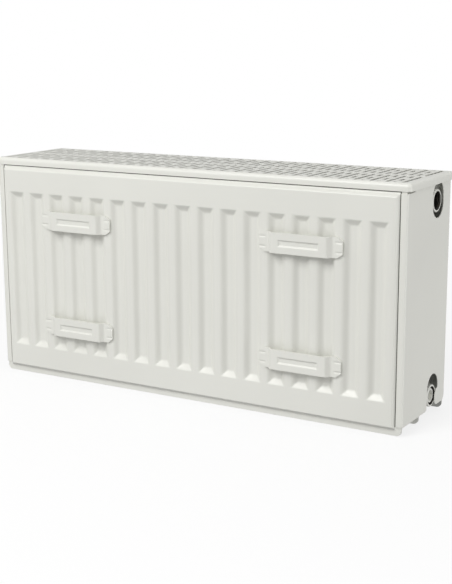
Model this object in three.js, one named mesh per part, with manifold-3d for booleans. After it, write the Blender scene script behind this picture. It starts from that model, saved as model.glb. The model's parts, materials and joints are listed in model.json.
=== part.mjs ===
// A compact steel panel radiator with three water panels, three convectors, a top grille and
// two side covers. Millimetres, +Z up. X runs along the length and the wall side faces -Y.
// Depths are laid out from the channel crests of the rear panel (Y = 0) and the finished
// assembly is then moved so that its origin is the centre of its base.
import * as THREE from "three";
import { mergeVertices } from "three/addons/utils/BufferGeometryUtils.js";
import Module from "manifold-3d";

const wasm = await Module();
wasm.setup();

// ---- Driving dimensions ------------------------------------------------------------------
const LENGTH = 600; // over the side covers
const HEIGHT = 299; // floor of the panels to the top of the grille
const GAP = 0.3; // clearance between neighbouring pieces
const CONNECTION_SPACING = 242; // between the upper and the lower connection

const PANEL_WIDTH = 596;
const PANEL_HEIGHT = 294;
const PANEL_CORNER = 6;
const PANEL_SHEET = 1.2;
const CHANNEL_RISE = 5; // crest above the welded flange
const FLANGE_FOOT = 8; // width of the flat welded flange
const FLANGE_RAMP = 2; // run of the slope from the flange to the crest

const GROOVE_COUNT = 17;
const GROOVE_PITCH = LENGTH / (GROOVE_COUNT + 1);
const GROOVE_MOUTH = 21;
const GROOVE_SIDE_RAMP = 4;
const GROOVE_END_RAMP = 7.5;
const GROOVE_LENGTH = 213;

// Depth of each panel's weld plane behind the rear crests.
const PANEL_HALF_DEPTH = CHANNEL_RISE + PANEL_SHEET + GAP / 2;
const SEAM_DEPTH = { rear: PANEL_HALF_DEPTH, middle: 58.5, front: 136 };

const COVER_SHEET = 1;
const COVER_FLANGE = 8.8;
const COVER_BOTTOM = 11;
const COVER_TOP = 288.7;
const COVER_BEND = 2.5;

const GRILLE_SHEET = 1;
const GRILLE_OVERHANG = 3.3; // past each side cover
const GRILLE_REAR = 3.7;
const GRILLE_FRONT = 144.1;
const GRILLE_BOTTOM = 289.4;
const GRILLE_CORNER = 5;
const GRILLE_EDGE_ROUND = 4;
const SLOT_WIDTH = 4.2;
const SLOT_PITCH = 10;
const SLOT_COLUMNS_PER_SIDE = 29; // besides the one at the centre
const SLOT_ROW_PITCH = 27;
const SLOT_REACH = 64; // from mid depth to the ends of the slots
const SLOT_BRIDGE = 8;

const BOSS_RADIUS = 14;
const BOSS_FACE = 298.6; // outer end of a connection, just inside the cover
const BOSS_LENGTH = 42;
const THREAD_RADIUS = 10.5;
const THREAD_DEPTH = 20;
const WATERWAY_RADIUS = 7;
const HEADER_TUBE_RADIUS = 13;
const HEADER_TUBE_X = 271;

const LUG_X = 5 * GROOVE_PITCH;
const LUG_RISE = 72.25; // above and below mid height
const LUG_LENGTH = 111;
const LUG_HEIGHT = 25;
const LUG_FACE = -8;
const LUG_SHEET = 2;
const LUG_FOLD = 37.5; // from the middle to where the strap bends in to its foot
const LUG_FOOT = 42; // from the middle to where the foot lies flat
const LUG_CHAMFER = 6;
const LUG_BEAD = { half: 26.5, low: -4, high: 3.5, depth: 1.2 };

const COVER_HOLE_RADIUS = 17.5;
const UPPER_HOLE_STRAIGHT = 9; // length of the straight sides between its round ends
const LOWER_HOLE_RISE = 10.5; // centre of its round top, above the connection
const LOBE_REACH = 8; // how far the lobe reaches into the lower hole

const CLIP_SHEET = 0.8;
const CLIP_HALF_LENGTH = 10;
const CLIP_PLACES = { outer_left: -225, inner_left: -85, inner_right: 85, outer_right: 225 };

const VENT_REACH = 305; // outermost point of the air vent
const ROUND_SIDES = 18;
const BORE_SIDES = 10;

// ---- Derived places ----------------------------------------------------------------------
const MID_HEIGHT = PANEL_HEIGHT / 2;
const PORT_HEIGHTS = {
  upper: MID_HEIGHT + CONNECTION_SPACING / 2,
  lower: MID_HEIGHT - CONNECTION_SPACING / 2,
};
const MIDDLE_FRONT_CREST = SEAM_DEPTH.middle + PANEL_HALF_DEPTH;
const FRONT_REAR_CREST = SEAM_DEPTH.front - PANEL_HALF_DEPTH;
const PORT_DEPTH = (MIDDLE_FRONT_CREST + FRONT_REAR_CREST) / 2;
const COVER_REAR = SEAM_DEPTH.rear - GAP / 2 - PANEL_SHEET - GAP - COVER_SHEET;
const COVER_FRONT = SEAM_DEPTH.front + GAP / 2 + PANEL_SHEET + GAP + COVER_SHEET;
const SIDES = { left: -1, right: 1 };

// ---- Materials ---------------------------------------------------------------------------
const paint = (name, color, roughness, metalness = 0) =>
  new THREE.MeshStandardMaterial({ name, color, roughness, metalness });
const whiteEnamel = paint("white_enamel", 0xe4e4dc, 0.42);
const convectorEnamel = paint("convector_enamel", 0xdcdcd6, 0.55);
const nickel = paint("nickel", 0xb9b7b0, 0.3, 1);
const brass = paint("brass", 0xb08d4f, 0.35, 1);
const springSteel = paint("spring_steel", 0x8c8f92, 0.4, 1);
const rubber = paint("seal_rubber", 0x1b1b1b, 0.8);
const whitePlastic = paint("white_plastic", 0xe9e9e4, 0.5);

// ---- Solid helpers -----------------------------------------------------------------------
// A closed geometry as a solid that can be joined and cut.
function solid(geometry) {
  const bare = geometry.index ? geometry.toNonIndexed() : geometry.clone();
  bare.deleteAttribute("normal");
  bare.deleteAttribute("uv");
  const merged = mergeVertices(bare, 1e-4);
  return new wasm.Manifold(
    new wasm.Mesh({
      numProp: 3,
      vertProperties: merged.attributes.position.array,
      triVerts: new Uint32Array(merged.index.array),
    }),
  );
}

function geometryOf(body) {
  const mesh = body.getMesh();
  const geometry = new THREE.BufferGeometry();
  geometry.setAttribute("position", new THREE.BufferAttribute(mesh.vertProperties, 3));
  geometry.setIndex(new THREE.BufferAttribute(mesh.triVerts, 1));
  const faceted = geometry.toNonIndexed();
  faceted.computeVertexNormals();
  return faceted;
}

const joined = (bodies) => bodies.reduce((all, body) => all.add(body));

function block([x0, x1], [y0, y1], [z0, z1]) {
  const geometry = new THREE.BoxGeometry(x1 - x0, y1 - y0, z1 - z0);
  return solid(geometry.translate((x0 + x1) / 2, (y0 + y1) / 2, (z0 + z1) / 2));
}

// A block centred on X = 0, Z = 0 whose outline is drawn in by (insetX, insetZ) at its +Y face.
function taperedBlock(width, height, [y0, y1], insetX, insetZ) {
  const geometry = new THREE.BoxGeometry(width, y1 - y0, height);
  geometry.translate(0, (y0 + y1) / 2, 0);
  const point = geometry.attributes.position;
  const middle = (y0 + y1) / 2;
  for (let i = 0; i < point.count; i++) {
    if (point.getY(i) < middle) continue;
    point.setX(i, point.getX(i) - Math.sign(point.getX(i)) * insetX);
    point.setZ(i, point.getZ(i) - Math.sign(point.getZ(i)) * insetZ);
  }
  return solid(geometry);
}

function roundedRectangle(width, height, radius) {
  const shape = new THREE.Shape();
  const [w, h] = [width / 2, height / 2];
  shape.moveTo(w, radius - h);
  shape.absarc(w - radius, h - radius, radius, 0, Math.PI / 2);
  shape.absarc(radius - w, h - radius, radius, Math.PI / 2, Math.PI);
  shape.absarc(radius - w, radius - h, radius, Math.PI, 1.5 * Math.PI);
  shape.absarc(w - radius, radius - h, radius, 1.5 * Math.PI, 2 * Math.PI);
  return shape;
}

// An outline drawn in (X, Z), given depth from y0 to y1.
function extrudedAlongY(shape, [y0, y1], curveSegments = 3) {
  const geometry = new THREE.ExtrudeGeometry(shape, {
    depth: y1 - y0,
    bevelEnabled: false,
    curveSegments,
  });
  return solid(geometry.rotateX(Math.PI / 2).translate(0, y1, 0));
}

// An outline drawn in (Y, Z), given length from x0 to x1.
function extrudedAlongX(shape, [x0, x1], curveSegments = 3) {
  const geometry = new THREE.ExtrudeGeometry(shape, {
    depth: x1 - x0,
    bevelEnabled: false,
    curveSegments,
  });
  const turn = new THREE.Matrix4().makeBasis(
    new THREE.Vector3(0, 1, 0),
    new THREE.Vector3(0, 0, 1),
    new THREE.Vector3(1, 0, 0),
  );
  return solid(geometry.applyMatrix4(turn).translate(x0, 0, 0));
}

function extrudedAlongZ(shape, [z0, z1], curveSegments = 3) {
  const geometry = new THREE.ExtrudeGeometry(shape, {
    depth: z1 - z0,
    bevelEnabled: false,
    curveSegments,
  });
  return solid(geometry.translate(0, 0, z0));
}

function rodAlongX(radius, [x0, x1], y = 0, z = 0, sides = ROUND_SIDES) {
  const geometry = new THREE.CylinderGeometry(radius, radius, x1 - x0, sides);
  return solid(geometry.rotateZ(-Math.PI / 2).translate((x0 + x1) / 2, y, z));
}

function rodAlongY(radius, [y0, y1], x = 0, z = 0, sides = ROUND_SIDES) {
  const geometry = new THREE.CylinderGeometry(radius, radius, y1 - y0, sides);
  return solid(geometry.translate(x, (y0 + y1) / 2, z));
}

function named(name, body, material) {
  const mesh = new THREE.Mesh(geometryOf(body), material);
  mesh.name = name;
  return mesh;
}

// ---- Water panels ------------------------------------------------------------------------
// The pressed half of a water panel: its crests face -Y at Y = 0 and its flange lies behind.
function pressedForm() {
  const flangeFace = CHANNEL_RISE;
  const outline = roundedRectangle(PANEL_WIDTH, PANEL_HEIGHT, PANEL_CORNER);
  const plate = extrudedAlongY(outline, [flangeFace, flangeFace + 2 * PANEL_SHEET]);
  const margin = 2 * (FLANGE_FOOT + FLANGE_RAMP);
  const field = taperedBlock(
    PANEL_WIDTH - margin,
    PANEL_HEIGHT - margin,
    [0, flangeFace + PANEL_SHEET],
    -FLANGE_RAMP * (1 + PANEL_SHEET / CHANNEL_RISE),
    -FLANGE_RAMP * (1 + PANEL_SHEET / CHANNEL_RISE),
  );
  const groove = taperedBlock(
    GROOVE_MOUTH,
    GROOVE_LENGTH,
    [0, CHANNEL_RISE],
    GROOVE_SIDE_RAMP,
    GROOVE_END_RAMP,
  );
  let form = plate.add(field);
  for (let i = 0; i < GROOVE_COUNT; i++) {
    const x = (i - (GROOVE_COUNT - 1) / 2) * GROOVE_PITCH;
    form = form.subtract(groove.translate([x, 0, 0]));
  }
  return form;
}

// One pressed sheet, with a hole at each corner where a header tube opens into the panel.
function pressedSheet(withPorts) {
  const form = pressedForm();
  let sheet = form.subtract(form.translate([0, PANEL_SHEET, 0]));
  if (withPorts) {
    for (const side of Object.values(SIDES)) {
      for (const height of Object.values(PORT_HEIGHTS)) {
        const z = height - MID_HEIGHT;
        const port = rodAlongY(
          WATERWAY_RADIUS,
          [-1, CHANNEL_RISE + 2 * PANEL_SHEET],
          side * HEADER_TUBE_X,
          z,
          BORE_SIDES,
        );
        sheet = sheet.subtract(port);
      }
    }
  }
  return sheet;
}

const blindSheet = pressedSheet(false);
const portedSheet = pressedSheet(true);

// A sheet whose crests face the wall, or the room when facing is +1.
function placedSheet(name, place, facing, ported) {
  const mesh = named(name, ported ? portedSheet : blindSheet, whiteEnamel);
  mesh.rotation.z = facing > 0 ? Math.PI : 0;
  mesh.position.set(0, SEAM_DEPTH[place] + facing * PANEL_HALF_DEPTH, MID_HEIGHT);
  return mesh;
}

function waterPanels() {
  const group = new THREE.Group();
  group.add(placedSheet("rear_panel_wall_sheet", "rear", -1, false));
  group.add(placedSheet("rear_panel_room_sheet", "rear", 1, true));
  group.add(placedSheet("middle_panel_wall_sheet", "middle", -1, true));
  group.add(placedSheet("middle_panel_room_sheet", "middle", 1, true));
  group.add(placedSheet("front_panel_wall_sheet", "front", -1, true));
  group.add(placedSheet("front_panel_room_sheet", "front", 1, false));
  return group;
}

// ---- Convectors --------------------------------------------------------------------------
const FIN_HEIGHTS = [52, 242];
const FIN_SHEET = 0.8;
const FIN_CREST = 15; // flat of a fold
const FIN_SLOPE = 2.5; // run of a fin along X

// A folded sheet: each fold touches a channel crest at Y = 0 and reaches out to depth.
function convectorSheet(depth) {
  const folds = GROOVE_COUNT - 1;
  const halfCrest = FIN_CREST / 2;
  const halfPitch = GROOVE_PITCH / 2;
  const near = [];
  const far = [];
  for (let i = 0; i < folds; i++) {
    const x = (i - (folds - 1) / 2) * GROOVE_PITCH;
    const turnOut = halfPitch - halfCrest - FIN_SLOPE;
    near.push([x - halfCrest, 0], [x + halfCrest, 0]);
    far.push([x - halfCrest + FIN_SHEET, FIN_SHEET], [x + halfCrest - FIN_SHEET, FIN_SHEET]);
    if (i === folds - 1) continue;
    const outer = depth - FIN_SHEET;
    const between = x + halfPitch;
    near.push([between - turnOut + FIN_SHEET, outer], [between + turnOut - FIN_SHEET, outer]);
    far.push([between - turnOut, depth], [between + turnOut, depth]);
  }
  const shape = new THREE.Shape([...near, ...far.reverse()].map(([x, y]) => new THREE.Vector2(x, y)));
  return extrudedAlongZ(shape, FIN_HEIGHTS);
}

function convector(name, rootDepth, facing, depth) {
  const mesh = named(name, convectorSheet(depth), convectorEnamel);
  mesh.rotation.z = facing > 0 ? 0 : Math.PI;
  mesh.position.y = rootDepth + facing * GAP;
  return mesh;
}

function convectors() {
  const rearFrontCrest = SEAM_DEPTH.rear + PANEL_HALF_DEPTH;
  const narrowDepth = SEAM_DEPTH.middle - PANEL_HALF_DEPTH - rearFrontCrest - 2 * GAP;
  const wideDepth = (FRONT_REAR_CREST - MIDDLE_FRONT_CREST) / 2 - 2 * GAP;
  const group = new THREE.Group();
  group.add(convector("rear_convector", rearFrontCrest, 1, narrowDepth));
  group.add(convector("middle_convector", MIDDLE_FRONT_CREST, 1, wideDepth));
  group.add(convector("front_convector", FRONT_REAR_CREST, -1, wideDepth));
  return group;
}

// ---- Connections -------------------------------------------------------------------------
// A tee at the right-hand end: a threaded boss along X on a header tube along Y.
function connectionTee() {
  const tubeSpan = [MIDDLE_FRONT_CREST + GAP, FRONT_REAR_CREST - GAP];
  const bossStart = BOSS_FACE - BOSS_LENGTH;
  const outside = rodAlongX(BOSS_RADIUS, [bossStart, BOSS_FACE], PORT_DEPTH).add(
    rodAlongY(HEADER_TUBE_RADIUS, tubeSpan, HEADER_TUBE_X),
  );
  const openSpan = [tubeSpan[0] - 1, tubeSpan[1] + 1];
  const waterway = joined([
    rodAlongX(THREAD_RADIUS, [BOSS_FACE - THREAD_DEPTH, BOSS_FACE + 1], PORT_DEPTH),
    rodAlongX(WATERWAY_RADIUS, [HEADER_TUBE_X, BOSS_FACE], PORT_DEPTH, 0, BORE_SIDES),
    rodAlongY(WATERWAY_RADIUS, openSpan, HEADER_TUBE_X, 0, BORE_SIDES),
  ]);
  return outside.subtract(waterway);
}

// The short tube that carries water from the middle panel to the rear one.
function headerTube() {
  const span = [
    SEAM_DEPTH.rear + PANEL_HALF_DEPTH + GAP,
    SEAM_DEPTH.middle - PANEL_HALF_DEPTH - GAP,
  ];
  const bore = rodAlongY(WATERWAY_RADIUS, [span[0] - 1, span[1] + 1], HEADER_TUBE_X, 0, BORE_SIDES);
  return rodAlongY(HEADER_TUBE_RADIUS, span, HEADER_TUBE_X).subtract(bore);
}

function connections() {
  const tee = connectionTee();
  const tube = headerTube();
  const group = new THREE.Group();
  for (const [sideName, side] of Object.entries(SIDES)) {
    for (const [levelName, height] of Object.entries(PORT_HEIGHTS)) {
      const corner = new THREE.Group();
      corner.add(named(`connection_tee_${levelName}_${sideName}`, tee, whiteEnamel));
      corner.add(named(`header_tube_${levelName}_${sideName}`, tube, whiteEnamel));
      corner.scale.x = side;
      corner.position.z = height;
      group.add(corner);
    }
  }
  return group;
}

// ---- Hanging lugs ------------------------------------------------------------------------
// A bridge strap: its feet are welded on the crests and its middle stands off for the hook.
function hangingLug() {
  const half = LUG_LENGTH / 2;
  const footFace = -LUG_SHEET - GAP;
  const lap = 0.75 * LUG_SHEET; // the inner bend sits this much nearer the middle
  const profile = new THREE.Shape(
    [
      [-half, footFace],
      [-LUG_FOOT, footFace],
      [-LUG_FOLD, LUG_FACE],
      [LUG_FOLD, LUG_FACE],
      [LUG_FOOT, footFace],
      [half, footFace],
      [half, -GAP],
      [LUG_FOOT - lap, -GAP],
      [LUG_FOLD - lap, LUG_FACE + LUG_SHEET],
      [lap - LUG_FOLD, LUG_FACE + LUG_SHEET],
      [lap - LUG_FOOT, -GAP],
      [-half, -GAP],
    ].map(([x, y]) => new THREE.Vector2(x, y)),
  );
  const strap = extrudedAlongZ(profile, [-LUG_HEIGHT / 2, LUG_HEIGHT / 2]);
  const chamfer = LUG_CHAMFER;
  const [w, h] = [half, LUG_HEIGHT / 2];
  const outline = new THREE.Shape(
    [
      [w - chamfer, -h],
      [w, chamfer - h],
      [w, h - chamfer],
      [w - chamfer, h],
      [chamfer - w, h],
      [-w, h - chamfer],
      [-w, chamfer - h],
      [chamfer - w, -h],
    ].map(([x, z]) => new THREE.Vector2(x, z)),
  );
  const trimmed = strap.intersect(extrudedAlongY(outline, [LUG_FACE - 1, 1]));
  const { half: beadHalf, low, high, depth } = LUG_BEAD;
  const bead = block([-beadHalf, beadHalf], [LUG_FACE - 1, LUG_FACE + depth], [low, high]);
  return trimmed.subtract(bead);
}

function hangingLugs() {
  const lug = hangingLug();
  const levels = { upper: LUG_RISE, lower: -LUG_RISE };
  const group = new THREE.Group();
  for (const [sideName, side] of Object.entries(SIDES)) {
    for (const [levelName, rise] of Object.entries(levels)) {
      const mesh = named(`hanging_lug_${levelName}_${sideName}`, lug, whiteEnamel);
      mesh.position.set(side * LUG_X, 0, MID_HEIGHT + rise);
      group.add(mesh);
    }
  }
  return group;
}

// ---- Side covers -------------------------------------------------------------------------
// The hole around the upper connection: a slot with round ends, cut off by the cover's top.
function upperCoverHole(radius) {
  const low = PORT_HEIGHTS.upper - UPPER_HOLE_STRAIGHT / 3;
  const high = low + UPPER_HOLE_STRAIGHT;
  const shape = new THREE.Shape();
  shape.moveTo(PORT_DEPTH + radius, low);
  shape.absarc(PORT_DEPTH, high, radius, 0, Math.PI);
  shape.absarc(PORT_DEPTH, low, radius, Math.PI, 2 * Math.PI);
  return shape;
}

// The hole around the lower connection: open below, with a lobe on its front side.
function lowerCoverHole(radius) {
  const top = PORT_HEIGHTS.lower + LOWER_HOLE_RISE;
  const below = COVER_BOTTOM - 1;
  const [rearEdge, frontEdge] = [PORT_DEPTH - radius, PORT_DEPTH + radius];
  const lobeEdge = frontEdge - LOBE_REACH;
  const lobeHeight = (below + top) / 2;
  const shape = new THREE.Shape();
  shape.moveTo(rearEdge, below);
  shape.lineTo(lobeEdge - LOBE_REACH / 2, below);
  shape.quadraticCurveTo(lobeEdge, below + LOBE_REACH / 2, lobeEdge, lobeHeight);
  shape.quadraticCurveTo(lobeEdge, top - LOBE_REACH, frontEdge, top - 1);
  shape.absarc(PORT_DEPTH, top, radius, 0, Math.PI);
  return shape;
}

// The right-hand cover: a folded channel whose flanges lap over the rear and front panels.
function sideCover() {
  const outer = LENGTH / 2;
  const inner = outer - COVER_SHEET;
  const edge = outer - COVER_FLANGE;
  const section = new THREE.Shape();
  section.moveTo(edge, COVER_REAR);
  section.absarc(outer - COVER_BEND, COVER_REAR + COVER_BEND, COVER_BEND, -Math.PI / 2, 0);
  section.absarc(outer - COVER_BEND, COVER_FRONT - COVER_BEND, COVER_BEND, 0, Math.PI / 2);
  section.lineTo(edge, COVER_FRONT);
  section.lineTo(edge, COVER_FRONT - COVER_SHEET);
  const bend = COVER_BEND - COVER_SHEET;
  section.absarc(inner - bend, COVER_FRONT - COVER_BEND, bend, Math.PI / 2, 0, true);
  section.absarc(inner - bend, COVER_REAR + COVER_BEND, bend, 0, -Math.PI / 2, true);
  section.lineTo(edge, COVER_REAR + COVER_SHEET);
  const channel = extrudedAlongZ(section, [COVER_BOTTOM, COVER_TOP]);
  const through = [inner - 1, outer + 1];
  return channel
    .subtract(extrudedAlongX(upperCoverHole(COVER_HOLE_RADIUS), through, 8))
    .subtract(extrudedAlongX(lowerCoverHole(COVER_HOLE_RADIUS), through, 8));
}

function sideCovers() {
  const cover = sideCover();
  const group = new THREE.Group();
  for (const [sideName, side] of Object.entries(SIDES)) {
    const mesh = named(`side_cover_${sideName}`, cover, whiteEnamel);
    mesh.scale.x = side;
    group.add(mesh);
  }
  return group;
}

// ---- Top grille --------------------------------------------------------------------------
// A solid with a rounded upper edge, from which the tray is hollowed.
function trayForm(inset, top) {
  const round = GRILLE_EDGE_ROUND - inset / 2;
  const length = LENGTH + 2 * (GRILLE_OVERHANG - inset - round);
  const depth = GRILLE_FRONT - GRILLE_REAR - 2 * inset - 2 * round;
  const corner = GRILLE_CORNER - inset - round; // the rounded edge widens it again
  const below = GRILLE_BOTTOM - 2 * round;
  const geometry = new THREE.ExtrudeGeometry(roundedRectangle(length, depth, corner), {
    depth: top - below - 2 * round,
    bevelThickness: round,
    bevelSize: round,
    bevelSegments: 3,
    curveSegments: 2,
  });
  return solid(geometry.translate(0, (GRILLE_FRONT + GRILLE_REAR) / 2, below + round));
}

// The slots of one column, between its bridges. Long columns have a bridge only at mid depth.
function slotColumn(x, isLong) {
  const centre = (GRILLE_FRONT + GRILLE_REAR) / 2;
  const slots = [];
  const spanX = [x - SLOT_WIDTH / 2, x + SLOT_WIDTH / 2];
  const spanZ = [HEIGHT - 3 * GRILLE_SHEET, HEIGHT + 1];
  const bridges = isLong ? [0] : [-2, -1, 0, 1, 2];
  let start = centre - SLOT_REACH;
  for (const bridge of bridges) {
    const middle = centre + bridge * SLOT_ROW_PITCH;
    slots.push(block(spanX, [start, middle - SLOT_BRIDGE / 2], spanZ));
    start = middle + SLOT_BRIDGE / 2;
  }
  slots.push(block(spanX, [start, centre + SLOT_REACH], spanZ));
  return slots;
}

function topGrille() {
  const hollow = trayForm(GRILLE_SHEET, HEIGHT - GRILLE_SHEET);
  const far = LENGTH;
  const openBottom = block([-far, far], [-far, far], [0, GRILLE_BOTTOM]);
  const slots = [];
  for (let i = -SLOT_COLUMNS_PER_SIDE; i <= SLOT_COLUMNS_PER_SIDE; i++) {
    slots.push(...slotColumn(i * SLOT_PITCH, i % 2 !== 0));
  }
  const tray = trayForm(0, HEIGHT).subtract(hollow).subtract(openBottom);
  return named("top_grille", tray.subtract(joined(slots)), whiteEnamel);
}

// Spring clips under the grille, which grip the welded flange of the middle panel.
function grilleClips() {
  const flangeHalf = PANEL_SHEET + GAP / 2;
  const sheet = CLIP_SHEET;
  const reach = flangeHalf + GAP + sheet;
  const [top, bottom] = [HEIGHT - GRILLE_SHEET - GAP, PANEL_HEIGHT - 5];
  const crown = top - sheet;
  const outline = [
    [-reach, bottom],
    [-reach, top],
    [reach, top],
    [reach, bottom],
    [reach - sheet, bottom],
    [reach - sheet, crown],
    [sheet - reach, crown],
    [sheet - reach, bottom],
  ];
  const shape = new THREE.Shape(outline.reverse().map(([y, z]) => new THREE.Vector2(y, z)));
  const clip = extrudedAlongX(shape, [-CLIP_HALF_LENGTH, CLIP_HALF_LENGTH]);
  const group = new THREE.Group();
  for (const [placeName, x] of Object.entries(CLIP_PLACES)) {
    const mesh = named(`grille_clip_${placeName}`, clip, springSteel);
    mesh.position.set(x, SEAM_DEPTH.middle, 0);
    group.add(mesh);
  }
  return group;
}

// ---- Plugs and air vent ------------------------------------------------------------------
const SEAL = 1.5;
const VENT_SEAT = BOSS_FACE + 2 * GAP + SEAL; // inner face of the vent plug's flange
const VENT_HEAD = VENT_SEAT + 2.4;
const COLLAR_FACE = VENT_HEAD + GAP + 1.3;
const COLLAR_RADIUS = 7.6;
const NOZZLE_RADIUS = 1.8;
const NOZZLE_OFFSET = 5.2;
const SCREW_RADIUS = 2.6;
const KEY_HALF = 1.7; // half the side of the bleed screw's square end
const OUTLET_RADIUS = 0.8;
const PLUG_RECESS = 1.2; // of the blanking plug, behind the connection's face
const SOCKET_RADIUS = 6.5; // to the corners of its hexagon socket
const SOCKET_DEPTH = 9;
const VENT_STEM = 12; // length of the vent plug inside the connection
const SCREW_DEPTH = 10; // how far the bleed screw reaches into the connection

// A flat ring on the connection's axis.
function ring(outerRadius, innerRadius, [x0, x1]) {
  const hole = rodAlongX(innerRadius, [x0 - 1, x1 + 1]);
  return rodAlongX(outerRadius, [x0, x1]).subtract(hole);
}

// A headless plug with a hexagon socket, screwed in against a flat seal at the thread's end.
function blankingPlug(sealEnd) {
  const face = BOSS_FACE - PLUG_RECESS;
  const stem = rodAlongX(THREAD_RADIUS - GAP, [sealEnd + GAP, face]);
  const socket = rodAlongX(SOCKET_RADIUS, [face - SOCKET_DEPTH, face + 1], 0, 0, 6);
  return stem.subtract(socket);
}

function ventPlug() {
  const flange = rodAlongX(BOSS_RADIUS - 0.5, [VENT_SEAT, VENT_HEAD]);
  const stem = rodAlongX(THREAD_RADIUS - GAP, [BOSS_FACE - VENT_STEM, VENT_SEAT]);
  const boreSpan = [BOSS_FACE - VENT_STEM - 1, VENT_HEAD + 1];
  const bore = rodAlongX(SCREW_RADIUS + GAP, boreSpan, 0, 0, BORE_SIDES);
  return flange.add(stem).subtract(bore);
}

// The swivelling outlet collar that turns round the bleed screw.
function ventCollar() {
  const plate = rodAlongX(COLLAR_RADIUS, [VENT_HEAD + GAP, COLLAR_FACE]);
  const nozzle = rodAlongX(NOZZLE_RADIUS, [COLLAR_FACE - 0.5, VENT_REACH], 0, -NOZZLE_OFFSET, 12);
  const bore = rodAlongX(SCREW_RADIUS + GAP, [VENT_HEAD - 1, VENT_REACH + 1], 0, 0, BORE_SIDES);
  const outlet = rodAlongX(OUTLET_RADIUS, [VENT_HEAD - 1, VENT_REACH + 1], 0, -NOZZLE_OFFSET, 8);
  return plate.add(nozzle).subtract(bore).subtract(outlet);
}

// The bleed screw, with a square end for a radiator key.
function bleedScrew() {
  const span = [BOSS_FACE - SCREW_DEPTH, COLLAR_FACE];
  const shank = rodAlongX(SCREW_RADIUS, span, 0, 0, BORE_SIDES);
  const side = [-KEY_HALF, KEY_HALF];
  return shank.add(block([COLLAR_FACE - 0.5, VENT_REACH], side, side));
}

function plugs() {
  const threadEnd = BOSS_FACE - THREAD_DEPTH + GAP;
  const flatSeal = ring(THREAD_RADIUS - GAP, WATERWAY_RADIUS, [threadEnd, threadEnd + SEAL]);
  const blankEnd = new THREE.Group();
  blankEnd.add(named("blanking_plug", blankingPlug(threadEnd + SEAL), whiteEnamel));
  blankEnd.add(named("blanking_plug_seal", flatSeal, rubber));
  blankEnd.position.set(0, PORT_DEPTH, PORT_HEIGHTS.lower);
  const ventSealSpan = [BOSS_FACE + GAP, BOSS_FACE + GAP + SEAL];
  const ventSeal = ring(BOSS_RADIUS - 1, THREAD_RADIUS, ventSealSpan);
  const ventEnd = new THREE.Group();
  ventEnd.add(named("vent_plug", ventPlug(), nickel));
  ventEnd.add(named("vent_plug_seal", ventSeal, rubber));
  ventEnd.add(named("vent_collar", ventCollar(), whitePlastic));
  ventEnd.add(named("bleed_screw", bleedScrew(), brass));
  ventEnd.scale.x = -1;
  ventEnd.position.set(0, PORT_DEPTH, PORT_HEIGHTS.upper);
  const group = new THREE.Group();
  group.add(blankEnd, ventEnd);
  return group;
}

// ---- Assembly ----------------------------------------------------------------------------
const radiator = new THREE.Group();
radiator.add(waterPanels(), convectors(), connections(), hangingLugs());
radiator.add(sideCovers(), topGrille(), grilleClips(), plugs());
radiator.position.x = (VENT_REACH - LENGTH / 2 - GRILLE_OVERHANG) / 2;
radiator.position.y = -(GRILLE_FRONT + LUG_FACE) / 2;

export default radiator;
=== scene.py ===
import json
import math

import bmesh
import bpy
from mathutils import Matrix, Vector, geometry


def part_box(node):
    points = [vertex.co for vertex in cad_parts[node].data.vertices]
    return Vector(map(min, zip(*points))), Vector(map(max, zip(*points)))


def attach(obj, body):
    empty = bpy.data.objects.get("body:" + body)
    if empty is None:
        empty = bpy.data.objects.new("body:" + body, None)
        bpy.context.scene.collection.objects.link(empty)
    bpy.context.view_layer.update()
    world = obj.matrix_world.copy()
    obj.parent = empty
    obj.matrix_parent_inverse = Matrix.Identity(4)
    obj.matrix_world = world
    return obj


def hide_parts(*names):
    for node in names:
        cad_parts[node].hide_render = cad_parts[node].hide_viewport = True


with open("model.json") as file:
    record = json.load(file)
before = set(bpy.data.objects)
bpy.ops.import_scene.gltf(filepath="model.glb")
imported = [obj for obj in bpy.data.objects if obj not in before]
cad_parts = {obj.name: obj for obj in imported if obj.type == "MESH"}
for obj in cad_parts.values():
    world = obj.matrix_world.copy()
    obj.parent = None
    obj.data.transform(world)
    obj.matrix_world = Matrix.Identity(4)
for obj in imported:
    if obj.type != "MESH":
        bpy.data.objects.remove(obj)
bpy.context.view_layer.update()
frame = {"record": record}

# ---- Layout, in millimetres --------------------------------------------------------------
# Lengths are in millimetres until a mesh is finished. X = 0 is the middle of the grille,
# Y = 0 the channel crests of the rear panel and Z = 0 the floor.
MM = 0.001
GRILLE_BOX = [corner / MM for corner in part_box("top_grille")]
ORIGIN = Vector(
    (
        (GRILLE_BOX[0].x + GRILLE_BOX[1].x) / 2,
        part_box("rear_panel_wall_sheet")[0].y / MM,
        0,
    )
)
SIDES = {"left": -1, "right": 1}
BODIES = frame["record"]["behaviour"]["bodies"]


def span(node, axis):
    """A CAD node's lowest and highest place along an axis, in the layout's millimetres."""
    low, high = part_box(node)
    return low[axis] / MM - ORIGIN[axis], high[axis] / MM - ORIGIN[axis]


# A panel's field stands CHANNEL_RISE proud of its flat welded flange and of the grooves' floors.
# Each SOFTNESS is the reach of a rounded bend.
PANEL_SHEET = 1.2
FLANGE_FOOT = 7.7
FLANGE_RAMP = 2.8
FLANGE_SOFTNESS = 1.1
CHANNEL_RISE = 5
PANEL_CORNER = 6
GROOVE_COUNT = 17
LENGTH = span("side_cover_right", 0)[1] - span("side_cover_left", 0)[0]
GROOVE_PITCH = LENGTH / (GROOVE_COUNT + 1)
GROOVE_FLOOR_HALF = 5.4
GROOVE_MOUTH_HALF = 11.2
GROOVE_SOFTNESS = 2.6
GROOVE_HALF_LENGTH = 106.5
GROOVE_END_RAMP = 7.5
GROOVE_END_SOFTNESS = 1.0
CREST_CROWN = 0.7

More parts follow.
